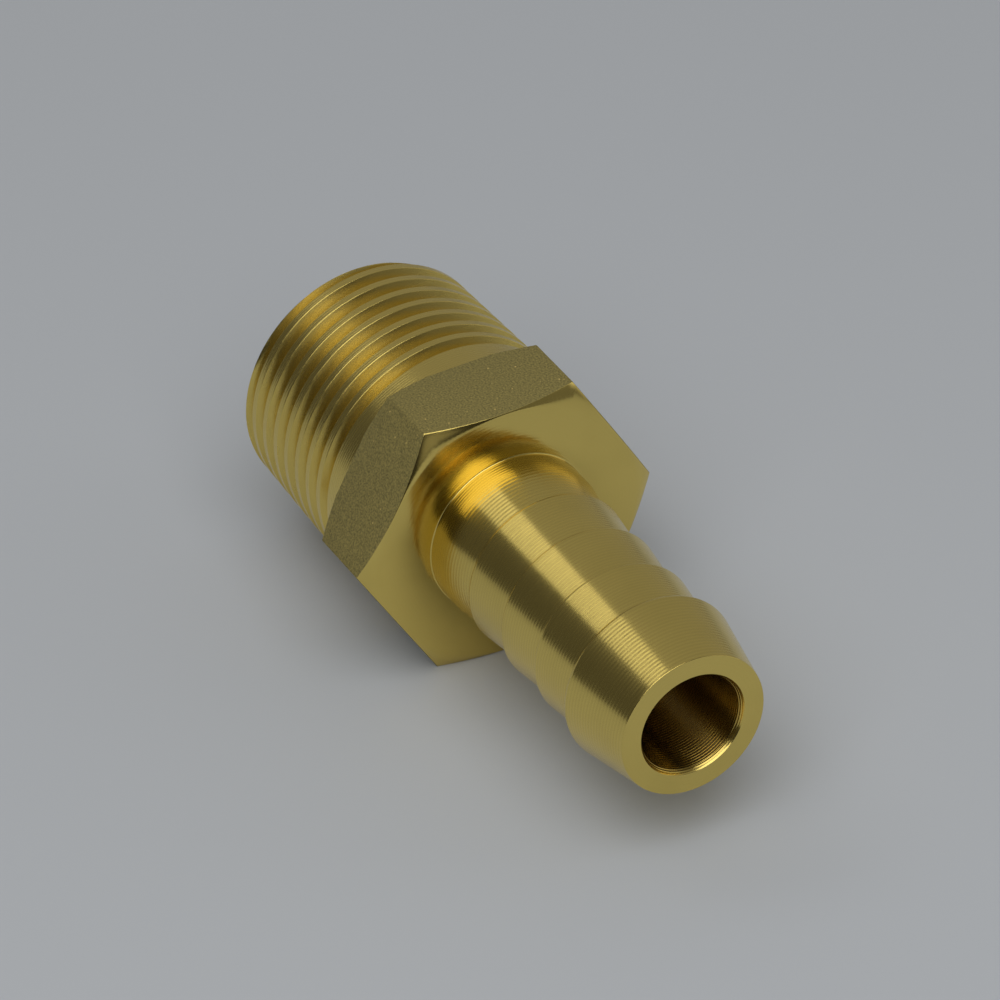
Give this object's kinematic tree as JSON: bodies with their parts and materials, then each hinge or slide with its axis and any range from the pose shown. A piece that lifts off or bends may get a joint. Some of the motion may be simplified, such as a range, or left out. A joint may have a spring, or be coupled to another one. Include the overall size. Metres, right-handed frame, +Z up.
{
  "type": "hose barb tail",
  "caption": "Brass hose tail: barbed stem for a push-on hose, hexagon for a spanner and taper male pipe thread, turned in one piece on a straight through-bore.",
  "frame": {"origin": "on the bore's axis, in the plane of the hexagon's thread-side face", "axes": "+X along the axis, out of the mouth of the hose tail; +Z up, square to the hexagon flat that lies on top; +Y completes the right-handed frame"},
  "size_m": [0.05, 0.0242, 0.021],
  "materials": {
    "brass": "as machined"
  },
  "bodies": {
    "root": {"hose_tail": "brass"}
  },
  "joints": []
}
